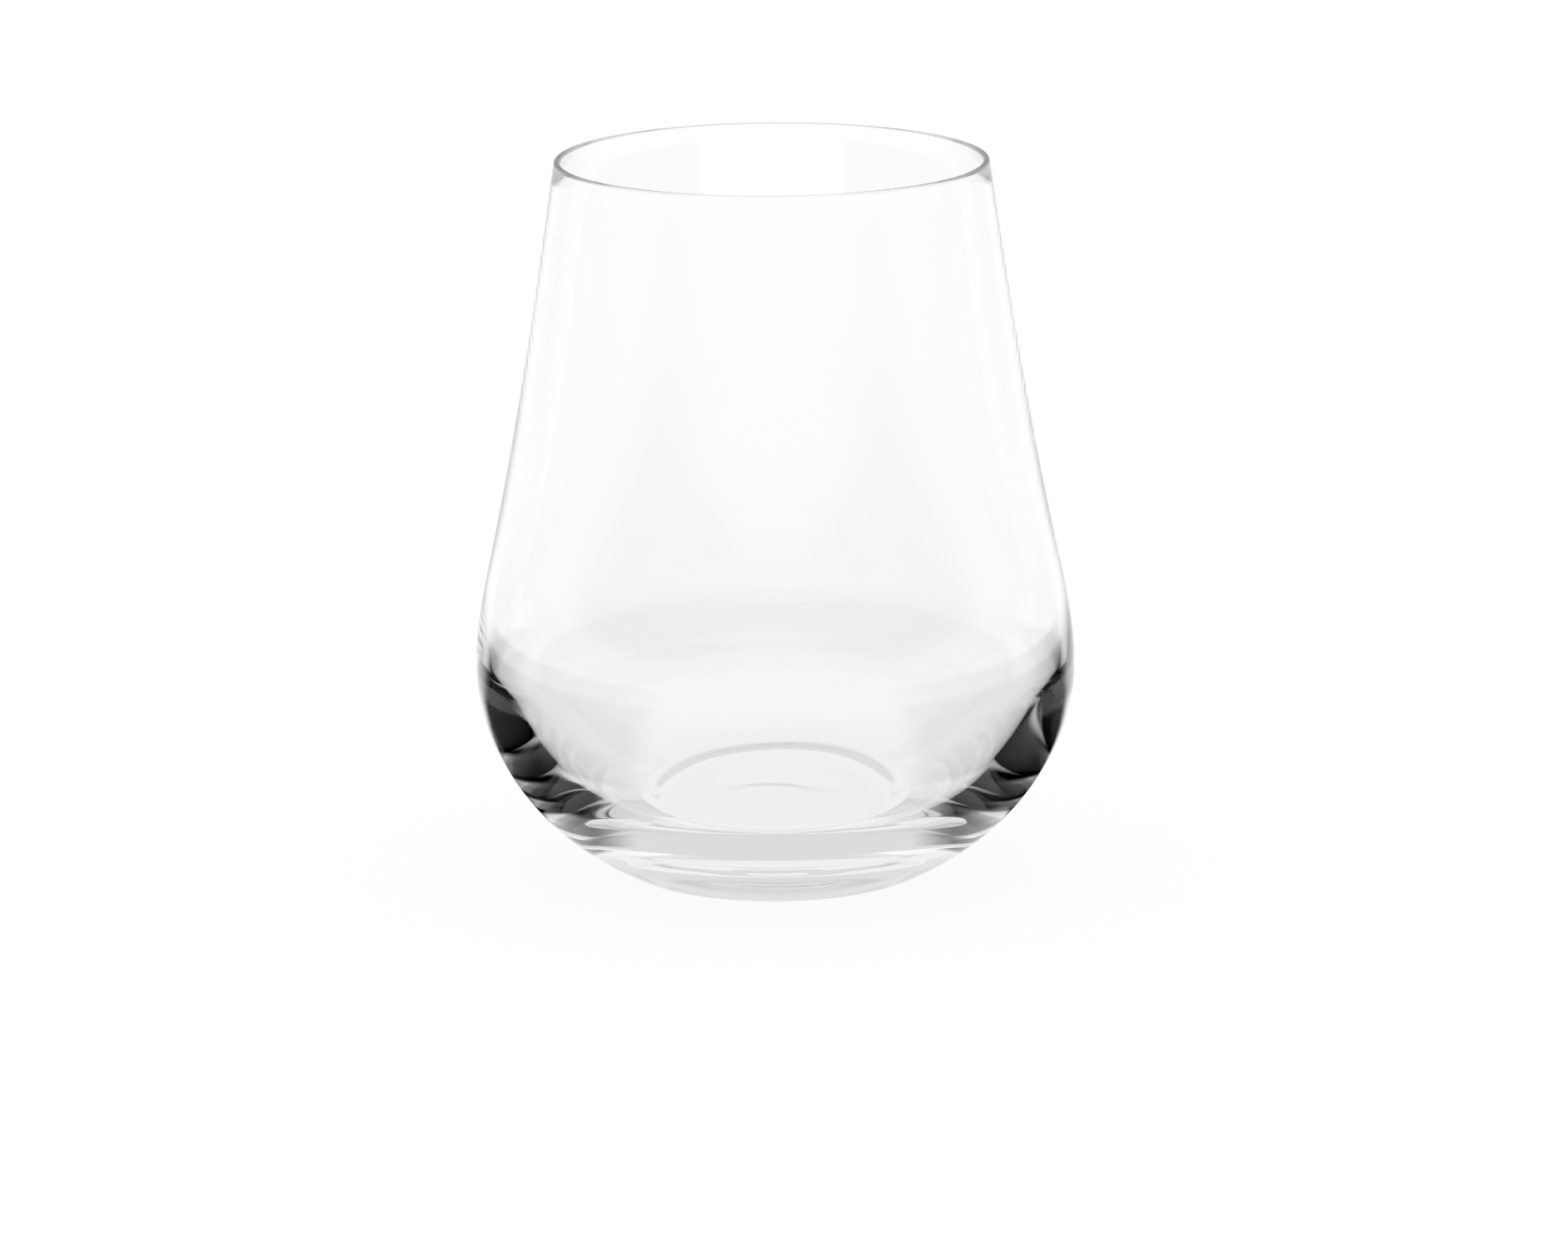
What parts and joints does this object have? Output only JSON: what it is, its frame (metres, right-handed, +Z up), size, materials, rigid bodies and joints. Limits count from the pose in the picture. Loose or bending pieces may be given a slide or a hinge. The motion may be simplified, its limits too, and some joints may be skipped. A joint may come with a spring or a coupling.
{
  "type": "water glass",
  "caption": "Clear stemless water glass with a thick rounded base, a low belly and a wall that draws in to a thin fire-polished rim.",
  "frame": {"origin": "centre of the underside, in the plane that the bearing ring stands on", "axes": "+Z up along the glass's axis; the glass is round, so X and Y may point anywhere in the table's plane"},
  "size_m": [0.088, 0.088, 0.1062],
  "materials": {
    "clear_glass": "clear, colourless and fire-polished, smooth all over"
  },
  "bodies": {
    "root": {"base": "clear_glass", "belly": "clear_glass", "wall": "clear_glass", "rim": "clear_glass"}
  },
  "joints": []
}
